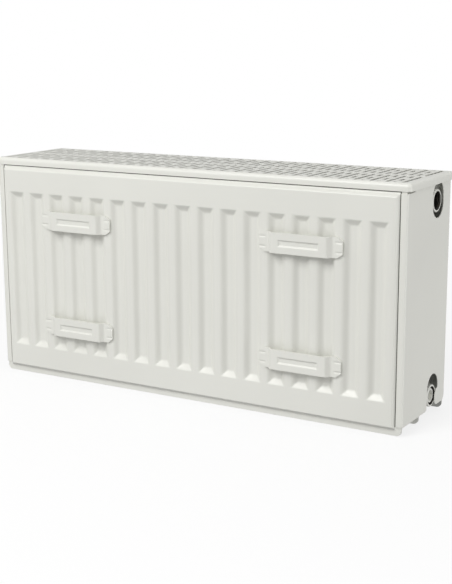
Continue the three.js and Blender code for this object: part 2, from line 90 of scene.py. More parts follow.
# The connections' common axes and sizes.
PORT_DEPTH = sum(span("connection_tee_upper_right", 1)) / 2
PORT_HEIGHTS = {
    level: sum(span(f"connection_tee_{level}_right", 2)) / 2 for level in ("upper", "lower")
}
BOSS_FACE = span("connection_tee_upper_right", 0)[1]
BOSS_RADIUS = 14
THREAD_RADIUS = 10.5
THREAD_DEPTH = 20
WATERWAY_RADIUS = 7
HEADER_TUBE_RADIUS = 13
HEADER_TUBE_X = 271


# ---- Materials ---------------------------------------------------------------------------
def new_material(name):
    """A material with its nodes, its links and its shader."""
    material = bpy.data.materials.new(name)
    material.use_nodes = True
    nodes = material.node_tree.nodes
    return material, nodes, material.node_tree.links, nodes["Principled BSDF"]


def object_noise(nodes, links, scale, detail, roughness=0.5):
    """Noise that is fixed to the piece, in metres."""
    place = nodes.new("ShaderNodeTexCoord")
    noise = nodes.new("ShaderNodeTexNoise")
    noise.inputs["Scale"].default_value = scale
    noise.inputs["Detail"].default_value = detail
    noise.inputs["Roughness"].default_value = roughness
    links.new(place.outputs["Object"], noise.inputs["Vector"])
    return noise.outputs["Fac"]


def ramp(nodes, links, source, stops):
    """A colour ramp over source, from pairs of place and colour."""
    node = nodes.new("ShaderNodeValToRGB")
    elements = node.color_ramp.elements
    while len(elements) < len(stops):
        elements.new(0.5)
    for element, (place, color) in zip(elements, stops):
        element.position = place
        element.color = (*color, 1)
    links.new(source, node.inputs["Fac"])
    return node.outputs["Color"]


def spread(nodes, links, source, low, high):
    """Maps the middle of a noise's range to low..high."""
    node = nodes.new("ShaderNodeMapRange")
    node.inputs["From Min"].default_value = 0.3
    node.inputs["From Max"].default_value = 0.7
    node.inputs["To Min"].default_value = low
    node.inputs["To Max"].default_value = high
    links.new(source, node.inputs["Value"])
    return node.outputs["Result"]


def bump(nodes, links, shader, layers):
    """Stacks bumps, from pairs of height source and distance in millimetres."""
    normal = None
    for source, distance in layers:
        node = nodes.new("ShaderNodeBump")
        node.inputs["Distance"].default_value = distance * MM
        links.new(source, node.inputs["Height"])
        if normal is not None:
            links.new(normal, node.inputs["Normal"])
        normal = node.outputs["Normal"]
    links.new(normal, shader.inputs["Normal"])


def scaled(color, factor):
    """A colour made lighter or darker."""
    return tuple(channel * factor for channel in color)


def powder_coat(name, color, roughness):
    """Baked paint: a fine orange peel, slow changes of tone and a little grime."""
    material, nodes, links, shader = new_material(name)
    cloud = object_noise(nodes, links, 7, 3)
    speck = object_noise(nodes, links, 900, 2)
    tone = ramp(nodes, links, cloud, [(0.3, scaled(color, 0.965)), (0.7, color)])
    dust = ramp(nodes, links, speck, [(0.24, scaled(color, 0.93)), (0.36, (1, 1, 1))])
    mixed = nodes.new("ShaderNodeMix")
    mixed.data_type = "RGBA"
    mixed.blend_type = "DARKEN"
    mixed.inputs["Factor"].default_value = 1
    links.new(tone, mixed.inputs["A"])
    links.new(dust, mixed.inputs["B"])
    links.new(mixed.outputs["Result"], shader.inputs["Base Color"])
    gloss = object_noise(nodes, links, 60, 4)
    links.new(
        spread(nodes, links, gloss, roughness - 0.05, roughness + 0.06),
        shader.inputs["Roughness"],
    )
    peel = object_noise(nodes, links, 420, 2)
    wave = object_noise(nodes, links, 24, 1)
    bump(nodes, links, shader, [(peel, 0.05), (wave, 0.12)])
    shader.inputs["IOR"].default_value = 1.5
    shader.inputs["Coat Weight"].default_value = 0.12
    shader.inputs["Coat Roughness"].default_value = 0.3
    return material


def worn(name, stain, stops, grain, gloss, depth, metallic=0):
    """Stains in the colour, and one fine grain in the gloss and the relief.

    stain and grain are each a noise's scale and detail, gloss is the roughness's range, and
    depth is in millimetres.
    """
    material, nodes, links, shader = new_material(name)
    stains = object_noise(nodes, links, *stain)
    links.new(ramp(nodes, links, stains, stops), shader.inputs["Base Color"])
    fine = object_noise(nodes, links, *grain)
    links.new(spread(nodes, links, fine, *gloss), shader.inputs["Roughness"])
    bump(nodes, links, shader, [(fine, depth)])
    shader.inputs["Metallic"].default_value = metallic
    return material


def bare_steel_and_shade(name, color, roughness):
    """The unpainted inside of a threaded bore: oily and faintly rusty bare steel, with a
    near-black tone that is partly painted shade for the deep bore.
    """
    rust = (color[0] * 1.9, color[1] * 1.5, color[2])
    stops = [(0.3, scaled(color, 0.5)), (0.55, color), (0.75, rust)]
    gloss = (roughness - 0.06, roughness + 0.12)
    return worn(name, (240, 4), stops, (600, 3), gloss, 0.04, 0.6)


def metal(name, color, roughness, grain):
    """Bare or plated metal with fine scratches and darker stains."""
    stops = [(0.28, scaled(color, 0.72)), (0.55, color), (0.8, scaled(color, 1.08))]
    gloss = (roughness - 0.08, roughness + 0.12)
    return worn(name, (160, 4), stops, (grain, 6, 0.7), gloss, 0.03, 1)


def moulded(name, color, roughness, grain, depth):
    """Plastic or rubber with a moulded grain."""
    stops = [(0.3, scaled(color, 0.85)), (0.7, color)]
    gloss = (roughness - 0.05, roughness + 0.08)
    return worn(name, (90, 3), stops, (grain, 3), gloss, depth)


MATERIALS = {
    "white_enamel": powder_coat("white_powder_coat", (0.80, 0.80, 0.745), 0.36),
    "convector_enamel": powder_coat("convector_paint", (0.74, 0.745, 0.715), 0.5),
    "spring_steel": metal("spring_steel_strip", (0.52, 0.53, 0.54), 0.38, 700),
    "nickel": metal("satin_nickel", (0.72, 0.70, 0.66), 0.3, 500),
    "brass": metal("turned_brass", (0.74, 0.56, 0.29), 0.32, 600),
    "seal_rubber": moulded("sealing_rubber", (0.035, 0.035, 0.035), 0.65, 500, 0.06),
    "white_plastic": moulded("moulded_white_plastic", (0.80, 0.80, 0.77), 0.42, 800, 0.02),
}
# Bare steel in the bores; its near-black tone is partly painted shade for the deep, unlit bore.
BORE_STEEL_AND_SHADE = bare_steel_and_shade("bore_steel_and_painted_shade", (0.035, 0.032, 0.026), 0.4)
# Grey paint on the inner sheets between the panels: painted shade for the dark inside of the
# radiator.
INNER_PAINTED_SHADE = powder_coat("inner_sheets_painted_shade", (0.46, 0.465, 0.44), 0.55)
# Painted shade: a dark strip standing for the shadow in the joints between the panel, the covers
# and the grille.
JOINT_PAINTED_SHADE = moulded("painted_shade_in_joint", (0.14, 0.14, 0.125), 0.8, 900, 0.05)


# ---- Mesh helpers ------------------------------------------------------------------------
def steps(start, end, count):
    """count + 1 evenly spaced values."""
    return [start + (end - start) * i / count for i in range(count + 1)]


def soft_knee(value, reach):
    """0 below, value above, with a round corner of that reach."""
    if value <= -reach:
        return 0.0
    if value >= reach:
        return value
    return (value + reach) ** 2 / (4 * reach)


def soft_ramp(value, start, end, reach):
    """Rises from 0 at start to 1 at end with rounded corners."""
    return (soft_knee(value - start, reach) - soft_knee(value - end, reach)) / (end - start)


def arc(centre, radius, start, end, count):
    """Points of an arc in a plane, angles in degrees."""
    return [
        (
            centre[0] + radius * math.cos(math.radians(angle)),
            centre[1] + radius * math.sin(math.radians(angle)),
        )
        for angle in steps(start, end, count)
    ]


def grid_faces(rows, columns, closed=False):
    """Faces of a grid of points; closed joins its last column to its first."""
    faces = []
    for i in range(rows - 1):
        row, above = i * columns, (i + 1) * columns
        for j in range(columns if closed else columns - 1):
            k = (j + 1) % columns
            faces.append((row + j, row + k, above + k, above + j))
    return faces


def mesh_of(points, faces):
    """A mesh of points and faces."""
    mesh = bpy.data.meshes.new("mesh")
    mesh.from_pydata([Vector(point) for point in points], [], faces)
    mesh.update()
    return mesh


def tidy(mesh, merge=1e-4):
    """Merges doubled points and turns the faces outwards."""
    shell = bmesh.new()
    shell.from_mesh(mesh)
    bmesh.ops.remove_doubles(shell, verts=shell.verts, dist=merge)
    bmesh.ops.recalc_face_normals(shell, faces=shell.faces)
    shell.to_mesh(mesh)
    shell.free()
    return mesh


def lathe(profile, sides=48, closed=False):
    """Turns a profile of (place along X, radius) about the X axis."""
    points = [
        (x, radius * math.cos(2 * math.pi * i / sides), radius * math.sin(2 * math.pi * i / sides))
        for x, radius in profile
        for i in range(sides)
    ]
    faces = grid_faces(len(profile), sides, closed=True)
    if closed:
        last = (len(profile) - 1) * sides
        faces += [(last + i, last + (i + 1) % sides, (i + 1) % sides, i) for i in range(sides)]
    return tidy(mesh_of(points, faces))


def joined(meshes):
    """One mesh of several, which are then gone."""
    shell = bmesh.new()
    for mesh in meshes:
        shell.from_mesh(mesh)
        bpy.data.meshes.remove(mesh)
    whole = bpy.data.meshes.new("mesh")
    shell.to_mesh(whole)
    shell.free()
    return whole


def moved(mesh, x=0, y=0, z=0):
    """The mesh itself, moved."""
    mesh.transform(Matrix.Translation((x, y, z)))
    return mesh


def mirrored(mesh):
    """The mesh mirrored in X = 0."""
    mesh.transform(Matrix.Scale(-1, 4, (1, 0, 0)))
    mesh.flip_normals()
    return mesh


def at_port(mesh, level, side=1):
    """The mesh, made about the X axis, moved to the axis of a connection."""
    if side < 0:
        mirrored(mesh)
    return moved(mesh, y=PORT_DEPTH, z=PORT_HEIGHTS[level])


def finish_piece(node, mesh, slot, thickness=0, bevel=0.0, sharp=35):
    """Puts a mesh in its place as the fine piece that stands for a CAD node.

    thickness is that of a sheet whose outer face the mesh is, and bevel rounds the edges that
    are sharper than that angle.
    """
    mesh.transform(Matrix.Translation(ORIGIN))
    mesh.transform(Matrix.Scale(MM, 4))
    mesh.shade_smooth()
    mesh.materials.clear()
    mesh.materials.append(MATERIALS[slot])
    piece = bpy.data.objects.new(node + "_finish", mesh)
    mesh.name = piece.name
    bpy.context.scene.collection.objects.link(piece)
    if thickness:
        sheet = piece.modifiers.new("sheet thickness", "SOLIDIFY")
        sheet.thickness = thickness * MM
        sheet.offset = -1
        sheet.use_even_offset = True
    if bevel:
        edge = piece.modifiers.new("rounded edges", "BEVEL")
        edge.width = bevel * MM
        edge.segments = 2
        edge.limit_method = "ANGLE"
        edge.angle_limit = math.radians(sharp)
        edge.use_clamp_overlap = True
    weighted = piece.modifiers.new("shading", "WEIGHTED_NORMAL")
    weighted.keep_sharp = True
    body = next(name for name, members in BODIES.items() if node in members)
    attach(piece, body)
    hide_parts(node)
    return piece


# ---- Water panels ------------------------------------------------------------------------
# The inner sheets that face the gaps between the panels get grey painted shade instead of white
# enamel.
SHADE_PAINTED_SHEETS = ("middle_panel_room_sheet", "front_panel_wall_sheet")

# The line of painted shade along the covers' rear edges and under the grille's lip, a dark strip
# standing for the shadow in the narrow joint there. A LAP is how far it runs on beneath them.
JOINT_WIDTH = 1.2
JOINT_SIDE_LAP = 0.5
JOINT_TOP_LAP = 1
JOINT_SIDE = min(abs(x) for x in span("side_cover_right", 0))
JOINT_TOP = span("top_grille", 2)[0]
JOINT_FOOT = span("side_cover_right", 2)[0]

# Lines of a sheet's grid: one each side of a groove's middle and of a crest's middle, rows up to
# STRAIGHT_HALF where nothing bends, and closer lines from BEND_MARGIN before a bend.
FLOOR_LINE = 1.6
CREST_LINE = 15.2
STRAIGHT_HALF = 80
BEND_MARGIN = 1.2


def groove_depth(x, z):
    """Share of a groove's full depth at a place measured from the sheet's middle, and the
    crown of the crests there."""
    reach = GROOVE_COUNT * GROOVE_PITCH / 2
    along = soft_ramp(GROOVE_HALF_LENGTH - abs(z), 0, GROOVE_END_RAMP, GROOVE_END_SOFTNESS)
    if abs(x) > reach:
        return 0.0, 0.0
    off = abs((x + reach) % GROOVE_PITCH - GROOVE_PITCH / 2)
    across = 1 - soft_ramp(off, GROOVE_FLOOR_HALF, GROOVE_MOUTH_HALF, GROOVE_SOFTNESS)
    crest_half = GROOVE_PITCH / 2 - GROOVE_FLOOR_HALF
    crown = ((GROOVE_PITCH / 2 - off) / crest_half) ** 2 * min(1, along) if along > 0 else 0
    edge = min(across, along)
    return edge, CREST_CROWN * crown * (1 - edge)


def pressed_depth(x, z, half_width, half_height):
    """How far the sheet lies behind its crests."""
    inside = min(half_width - abs(x), half_height - abs(z))
    field = soft_ramp(inside, FLANGE_FOOT, FLANGE_FOOT + FLANGE_RAMP, FLANGE_SOFTNESS)
    groove, crown = groove_depth(x, z)
    return CHANNEL_RISE * (1 - field * (1 - groove)) + crown * field


def paint_joint_shade(mesh):
    """Paints the line of shade, a dark strip standing for the joint's shadow, on a finished
    sheet's flange.
    """
    mesh.materials.append(JOINT_PAINTED_SHADE)
    for face in mesh.polygons:
        x = abs(face.center.x / MM - ORIGIN.x)
        z = face.center.z / MM
        at_side = -JOINT_SIDE_LAP < JOINT_SIDE - x < JOINT_WIDTH
        at_cover = JOINT_FOOT < z < JOINT_TOP + JOINT_TOP_LAP
        under_lip = -JOINT_TOP_LAP < JOINT_TOP - z < JOINT_WIDTH and x < JOINT_SIDE
        if at_side and at_cover or under_lip:
            face.material_index = 1


def sheet_lines(half_width, half_height):
    """Places of the grid's columns and rows, closer together where the sheet bends."""
    flank_start = GROOVE_FLOOR_HALF - GROOVE_SOFTNESS
    flank_end = GROOVE_MOUTH_HALF + GROOVE_SOFTNESS
    offsets = [0, FLOOR_LINE, *steps(flank_start, flank_end, 14), CREST_LINE]
    columns = set()
    for i in range(GROOVE_COUNT):
        centre = (i - (GROOVE_COUNT - 1) / 2) * GROOVE_PITCH
        for off in offsets:
            columns.update((round(centre - off, 3), round(centre + off, 3)))
        columns.add(round(centre + GROOVE_PITCH / 2, 3))
    columns.add(-round(GROOVE_COUNT * GROOVE_PITCH / 2, 3))
    bend = steps(FLANGE_FOOT - BEND_MARGIN, FLANGE_FOOT + FLANGE_RAMP + BEND_MARGIN, 6)
    rim = steps(0, PANEL_CORNER, 4) + bend
    outer = [half_width - inset for inset in rim]
    outer += [JOINT_SIDE, JOINT_SIDE - JOINT_WIDTH]
    columns.update(round(side * x, 3) for x in outer for side in (-1, 1))
    end_start = GROOVE_HALF_LENGTH - GROOVE_END_RAMP - BEND_MARGIN
    ends = steps(end_start, GROOVE_HALF_LENGTH + BEND_MARGIN, 9)
    rows = [half_height - inset for inset in rim] + ends + steps(0, STRAIGHT_HALF, 4)
    rows += [JOINT_TOP - half_height, JOINT_TOP - JOINT_WIDTH - half_height]
    rows = {round(side * z, 3) for z in rows for side in (-1, 1)}
    return sorted(columns), sorted(rows)


def round_corner(x, z, half_width, half_height):
    """Draws a corner square of the grid in to a quarter of a disc."""
    corner_x = abs(x) - (half_width - PANEL_CORNER)
    corner_z = abs(z) - (half_height - PANEL_CORNER)
    if corner_x <= 0 or corner_z <= 0:
        return x, z
    a, b = corner_x / PANEL_CORNER, corner_z / PANEL_CORNER
    round_x = half_width - PANEL_CORNER + PANEL_CORNER * a * math.sqrt(1 - b * b / 2)
    round_z = half_height - PANEL_CORNER + PANEL_CORNER * b * math.sqrt(1 - a * a / 2)
    return math.copysign(round_x, x), math.copysign(round_z, z)


def pressed_sheet(node, facing):
    """A pressed half of a panel; facing is -1 towards the wall and 1 towards the room."""
    low_x, high_x = span(node, 0)
    low_z, high_z = span(node, 2)
    crest = span(node, 1)[0 if facing < 0 else 1]
    half_width, half_height = (high_x - low_x) / 2, (high_z - low_z) / 2
    columns, rows = sheet_lines(half_width, half_height)
    points = []
    for z in rows:
        for x in columns:
            depth = pressed_depth(x, z, half_width, half_height)
            round_x, round_z = round_corner(x, z, half_width, half_height)
            points.append((round_x, crest - facing * depth, round_z + half_height))
    mesh = mesh_of(points, grid_faces(len(rows), len(columns)))
    if facing > 0:
        mesh.flip_normals()
    piece = finish_piece(node, mesh, "white_enamel", PANEL_SHEET, 0.35, 60)
    if node == "rear_panel_wall_sheet":
        # The rear wall sheet carries the strip of painted shade along its joints.
        paint_joint_shade(piece.data)
    elif node in SHADE_PAINTED_SHEETS:
        # These inner sheets get grey painted shade in place of their white enamel.
        piece.data.materials[0] = INNER_PAINTED_SHADE
    return piece


def water_panels():
    """The three panels, each of two pressed sheets."""
    for place in ("rear", "middle", "front"):
        pressed_sheet(f"{place}_panel_wall_sheet", -1)
        pressed_sheet(f"{place}_panel_room_sheet", 1)


# ---- Convectors --------------------------------------------------------------------------
FIN_SHEET = 0.8
FIN_CREST = 15
FIN_SLOPE = 2.5
FIN_BEND = 2.2

# A rounded corner takes at most the side's length divided by this, so two never meet.
CORNER_LIMIT = 2.01


def rounded_path(corners, radius, count=4):
    """A path with every inner corner rounded."""
    path = [corners[0]]
    for before, at, after in zip(corners, corners[1:], corners[2:]):
        before, at, after = Vector(before), Vector(at), Vector(after)
        back, ahead = (before - at).normalized(), (after - at).normalized()
        half = back.angle(ahead) / 2
        shorter = min((before - at).length, (after - at).length)
        cut = min(radius / math.tan(half), shorter / CORNER_LIMIT)
        start, end = at + back * cut, at + ahead * cut
        for t in steps(0, 1, count):
            point = start * (1 - t) ** 2 + at * 2 * t * (1 - t) + end * t ** 2
            path.append(tuple(point))
    path.append(corners[-1])
    return path


def convector(node, facing):
    """A folded sheet whose folds touch a panel at its root and reach out towards facing."""
    low_y, high_y = span(node, 1)
    low_z, high_z = span(node, 2)
    depth = high_y - low_y - FIN_SHEET
    root = low_y + FIN_SHEET / 2 if facing > 0 else high_y - FIN_SHEET / 2
    half_crest = (FIN_CREST - FIN_SHEET) / 2
    turn = GROOVE_PITCH / 2 - half_crest - FIN_SLOPE
    corners = []
    folds = GROOVE_COUNT - 1
    for i in range(folds):
        x = (i - (folds - 1) / 2) * GROOVE_PITCH
        corners += [(x - half_crest, 0), (x + half_crest, 0)]
        if i < folds - 1:
            middle = x + GROOVE_PITCH / 2
            corners += [(middle - turn, depth), (middle + turn, depth)]
    path = rounded_path(corners, FIN_BEND)
    heights = steps(low_z, high_z, 6)
    points = [(x, root + facing * y, z) for z in heights for x, y in path]
    mesh = mesh_of(points, grid_faces(len(heights), len(path)))
    piece = finish_piece(node, mesh, "convector_enamel", FIN_SHEET, 0.15, 60)
    piece.modifiers["sheet thickness"].offset = 0
    return piece


def convectors():
    """One on the rear panel's room side, and one on each side of the gap behind the front."""
    convector("rear_convector", 1)
    convector("middle_convector", 1)
    convector("front_convector", -1)


# ---- Connections -------------------------------------------------------------------------
# A thread's ridge: its pitch, height, half widths at root and tip, how far its root is sunk in
# the wall, the points in a turn, and the share of the ridge over which an end rises.
THREAD_PITCH = 1.814
THREAD_RISE = 0.9
THREAD_ROOT_HALF = 0.8
THREAD_TIP_HALF = 0.12
THREAD_SUNK = 0.2
THREAD_POINTS = 40
THREAD_END = 1 / 30

# A fillet of weld, and how hollow its face is.
WELD_SIZE = 1.6
WELD_SUNK = 0.6
WELD_HOLLOW = 1.6

# The threaded boss: its foot is inside the header tube, and its bore narrows over BORE_CONE.
BOSS_FOOT = HEADER_TUBE_X - HEADER_TUBE_RADIUS - 1.4
BOSS_FOOT_CHAMFER = 1.5
BOSS_CHAMFER = 0.8
BORE_CONE = 1.5
MOUTH_DEPTH = 1.4
MOUTH_FLARE = 1.6
CUT_PAST = 0.5
BORE_MARGIN = 1


def boolean(mesh, other, operation):
    """Joins or cuts one closed mesh with another."""
    target = bpy.data.objects.new("target", mesh)
    tool = bpy.data.objects.new("tool", other)
    for item in (target, tool):
        bpy.context.scene.collection.objects.link(item)
    cut = target.modifiers.new("cut", "BOOLEAN")
    cut.object = tool
    cut.operation = operation
    cut.solver = "EXACT"
    bpy.context.view_layer.update()
    result = bpy.data.meshes.new_from_object(
        target.evaluated_get(bpy.context.evaluated_depsgraph_get())
    )
    for item in (target, tool):
        bpy.data.objects.remove(item)
    bpy.data.meshes.remove(mesh)
    bpy.data.meshes.remove(other)
    return result


def rod(radius, start, end, chamfer=0, sides=48):
    """A closed rod along X."""
    profile = [
        (start, 0),
        (start, radius - chamfer),
        (start + chamfer, radius),
        (end - chamfer, radius),
        (end, radius - chamfer),
        (end, 0),
    ]
    return lathe(profile, sides)


def turned_to_y(mesh):
    """Lays a rod made along X along Y."""
    mesh.transform(Matrix.Rotation(math.pi / 2, 4, "Z"))
    return mesh


def thread(start, end, radius, outward):
    """The helical ridge of a thread on a wall of that radius.

    outward is the share of the full ridge that stands out of the wall, and -1 inside a bore.
    """
    turns = (end - start) / THREAD_PITCH - 1
    count = int(turns * THREAD_POINTS)
    points = []
    for i in range(count + 1):
        share = i / count
        angle = 2 * math.pi * turns * share
        x = start + THREAD_PITCH * (0.5 + turns * share)
        rise = THREAD_RISE * min(1, share / THREAD_END, (1 - share) / THREAD_END)
        section = [
            (-THREAD_ROOT_HALF, -THREAD_SUNK),
            (-THREAD_TIP_HALF, rise),
            (THREAD_TIP_HALF, rise),
            (THREAD_ROOT_HALF, -THREAD_SUNK),
        ]
        for along, out in section:
            r = radius + outward * out
            points.append((x + along, r * math.cos(angle), r * math.sin(angle)))
    faces = grid_faces(count + 1, 4, closed=True)
    faces.append((0, 1, 2, 3))
    faces.append(tuple(4 * count + k for k in (3, 2, 1, 0)))
    return tidy(mesh_of(points, faces))


def weld_ring():
    """A fillet of weld round a header tube's end at X = 0."""
    inner, outer = HEADER_TUBE_RADIUS - WELD_SUNK, HEADER_TUBE_RADIUS
    face = [
        (WELD_SIZE * t, outer + WELD_SIZE * (1 - t) ** WELD_HOLLOW) for t in steps(0.15, 1, 6)
    ]
    profile = [(0, inner), (0, outer + WELD_SIZE), *face, (WELD_SIZE, inner)]
    return lathe(profile, closed=True)


def connection_tee(node, level, side):
    """A threaded boss along X on a header tube along Y."""
    low_y, high_y = span(node, 1)
    half_span = (high_y - low_y) / 2
    boss = lathe(
        [
            (BOSS_FOOT, 0),
            (BOSS_FOOT, BOSS_RADIUS - BOSS_FOOT_CHAMFER),
            (BOSS_FOOT + BOSS_FOOT_CHAMFER, BOSS_RADIUS),
            (BOSS_FACE - BOSS_CHAMFER, BOSS_RADIUS),
            (BOSS_FACE, BOSS_RADIUS - BOSS_CHAMFER),
            (BOSS_FACE, 0),
        ]
    )
    tube = moved(turned_to_y(rod(HEADER_TUBE_RADIUS, -half_span, half_span)), x=HEADER_TUBE_X)
    body = boolean(boss, tube, "UNION")
    bore = lathe(
        [
            (HEADER_TUBE_X, 0),
            (HEADER_TUBE_X, WATERWAY_RADIUS),
            (BOSS_FACE - THREAD_DEPTH - BORE_CONE, WATERWAY_RADIUS),
            (BOSS_FACE - THREAD_DEPTH, THREAD_RADIUS),
            (BOSS_FACE - MOUTH_DEPTH, THREAD_RADIUS),
            (BOSS_FACE + CUT_PAST, THREAD_RADIUS + MOUTH_FLARE),
            (BOSS_FACE + CUT_PAST, 0),
        ]
    )
    waterway = turned_to_y(rod(WATERWAY_RADIUS, -half_span - 1, half_span + 1))
    body = boolean(body, bore, "DIFFERENCE")
    body = boolean(body, moved(waterway, x=HEADER_TUBE_X), "DIFFERENCE")
    parts = [body, thread(BOSS_FACE - THREAD_DEPTH + 1, BOSS_FACE - 0.6, THREAD_RADIUS, -1)]
    for end in (-1, 1):
        ring = weld_ring()
        if end > 0:
            mirrored(ring)
        parts.append(moved(turned_to_y(ring), x=HEADER_TUBE_X, y=end * half_span))
    mesh = at_port(joined(parts), level, side)
    piece = finish_piece(node, mesh, "white_enamel")
    line_bore_steel_and_shade(piece, level)
    return piece


def line_bore_steel_and_shade(piece, level):
    """Gives the walls of a connection's bore their bare steel, whose near-black tone is partly
    painted shade for the deep bore.
    """
    piece.data.materials.append(BORE_STEEL_AND_SHADE)
    axis_y = (ORIGIN.y + PORT_DEPTH) * MM
    axis_z = PORT_HEIGHTS[level] * MM
    wall = (THREAD_RADIUS + BORE_MARGIN) * MM
    reach = (HEADER_TUBE_X - WATERWAY_RADIUS - BORE_MARGIN) * MM
    for face in piece.data.polygons:
        off = math.hypot(face.center.y - axis_y, face.center.z - axis_z)
        is_in_bore = off < wall and abs(face.center.x - ORIGIN.x * MM) > reach
        if is_in_bore:
            face.material_index = 1


def header_tube(node, level, side):
    """The tube that carries the water on from a tee to the next panel, with its welds."""
    low_y, high_y = span(node, 1)
    profile = [
        (low_y, WATERWAY_RADIUS),
        (low_y, HEADER_TUBE_RADIUS),
        (high_y, HEADER_TUBE_RADIUS),
        (high_y, WATERWAY_RADIUS),
    ]
    parts = [turned_to_y(lathe(profile, closed=True))]
    first = turned_to_y(weld_ring())
    parts.append(moved(first, y=low_y))
    second = turned_to_y(mirrored(weld_ring()))
    parts.append(moved(second, y=high_y))
    mesh = moved(joined(parts), x=side * HEADER_TUBE_X, z=PORT_HEIGHTS[level])
    return finish_piece(node, mesh, "white_enamel")


def connections():
    """The four corners' tees and header tubes."""
    for side_name, side in SIDES.items():
        for level in PORT_HEIGHTS:
            connection_tee(f"connection_tee_{level}_{side_name}", level, side)
            header_tube(f"header_tube_{level}_{side_name}", level, side)


# ---- Hanging lugs ------------------------------------------------------------------------
LUG_SHEET = 2
LUG_FOLD = 37.5
LUG_FOOT = 42
LUG_SOFTNESS = 1.6
LUG_CHAMFER_X = 6.5
LUG_CHAMFER_Z = 5

# Pressed beads: a long one on the face, and two short ones on each foot.
FACE_BEAD = {"half_length": 27, "half_width": 4.2, "reach": 0.8}
FACE_BEAD_DEPTH = 1.5
FACE_BEAD_DROP = 0.25
FOOT_BEAD = {"half_length": 6.2, "half_width": 1.6, "reach": 0.6}
FOOT_BEAD_DEPTH = 0.7
FOOT_BEAD_X = 52.6
FOOT_BEAD_Z = 6

# Rows of a lug's grid above its middle, closer together where a bead's edge runs.
LUG_ROWS = [0, 1.6, *steps(2, 8.4, 16), 9.4, 10.6, 11.5]


def recess(place, half_length, half_width, reach):
    """Share of a pressed bead's depth at a place measured from the bead's centre."""
    softness = reach * 0.7
    along = soft_ramp(half_length - abs(place[0]), 0, 2 * reach, softness)
    across = soft_ramp(half_width - abs(place[1]), 0, 2 * reach, softness)
    return min(along, across)


def lug_face(x, z, face, foot_face):
    """Y of a lug's outer face, which folds back from face to foot_face at its ends."""
    folded = soft_ramp(abs(x), LUG_FOLD, LUG_FOOT, LUG_SOFTNESS)
    y = face + (foot_face - face) * folded
    y += FACE_BEAD_DEPTH * recess((x, z + FACE_BEAD_DROP), **FACE_BEAD)
    for level in (-1, 1):
        place = (abs(x) - FOOT_BEAD_X, z - level * FOOT_BEAD_Z)
        y += FOOT_BEAD_DEPTH * recess(place, **FOOT_BEAD)
    return y


def hanging_lug(node):
    """A bridge strap whose chamfered feet are welded to the crests."""
    low_x, high_x = span(node, 0)
    low_z, high_z = span(node, 2)
    face, inner = span(node, 1)
    half_length, half_height = (high_x - low_x) / 2, (high_z - low_z) / 2
    chamfer_start = half_length - LUG_CHAMFER_X
    bead_end = FACE_BEAD["half_length"]
    columns = steps(0, bead_end - 3, 6) + steps(bead_end - 2, bead_end + 2, 5)
    columns += steps(bead_end + 4, LUG_FOLD - 2.5, 3)
    columns += steps(LUG_FOLD - LUG_SOFTNESS, LUG_FOOT + LUG_SOFTNESS, 8)
    columns += steps(LUG_FOOT + 2.4, half_length, 10)
    columns = sorted({round(side * x, 3) for x in columns for side in (-1, 1)})
    rows = sorted({side * z for z in (*LUG_ROWS, half_height) for side in (-1, 1)})
    points = []
    for z in rows:
        for x in columns:
            over = max(0, abs(x) - chamfer_start) / LUG_CHAMFER_X
            height = half_height - LUG_CHAMFER_Z * over
            at_z = z * height / half_height
            y = lug_face(x, at_z, face, inner - LUG_SHEET)
            points.append((x, y, at_z))
    mesh = mesh_of(points, grid_faces(len(rows), len(columns)))
    moved(mesh, x=(low_x + high_x) / 2, z=(low_z + high_z) / 2)
    return finish_piece(node, mesh, "white_enamel", LUG_SHEET, 0.45, 50)


def hanging_lugs():
    """The four lugs on the rear panel."""
    for side_name in SIDES:
        for level in PORT_HEIGHTS:
            hanging_lug(f"hanging_lug_{level}_{side_name}")


# ---- Flat sheets cut to an outline -------------------------------------------------------
def filled(outline, holes=(), inside_hole=None):
    """Triangles that fill an outline in a plane, without its holes.

    inside_hole says of a triangle's middle whether it lies in a hole.
    """
    points, edges = [], []
    for loop in [outline, *holes]:
        first = len(points)
        points += [Vector(point) for point in loop]
        edges += [(first + i, first + (i + 1) % len(loop)) for i in range(len(loop))]
    inside_only = 0 if holes else 1
    found = geometry.delaunay_2d_cdt(points, edges, [], inside_only, 1e-4)
    places, faces = found[0], found[2]
    kept = []
    for face in faces:
        centre = sum((places[i] for i in face), Vector((0, 0))) / len(face)
        if inside_hole is None or not inside_hole(centre):
            kept.append(tuple(face))
    return places, kept


# ---- Side covers -------------------------------------------------------------------------
COVER_SHEET = 1
COVER_BEND = 2.5
COVER_HOLE = 17.5
COVER_CORNER = 6
# The top edge is SHOULDER_DROP lower along its rear end.
SHOULDER_DROP = 1.8
SHOULDER_LENGTH = 17
SHOULDER_RAMP = 2

# The lower opening: a half circle above the connection, a lobe that reaches in under it from the
# front, and a rounded foot at the rear. LOBE_EDGE runs up from the lobe to the half circle.
LOWER_HOLE_RISE = 10.5
LOWER_HOLE_START = -12
LOBE_REACH = 8
LOBE_CENTRE = 7
LOBE_RADIUS = 8
LOBE_EDGE = [(-1, 11), (-0.2, 16), (3.2, 20.5)]
FOOT_RADIUS = 4
FOOT_STRAIGHT = 2

# The upper opening: a half circle below the connection, and straight sides that close in above.
UPPER_HOLE_DROP = 3
UPPER_HOLE_STRAIGHT = 9


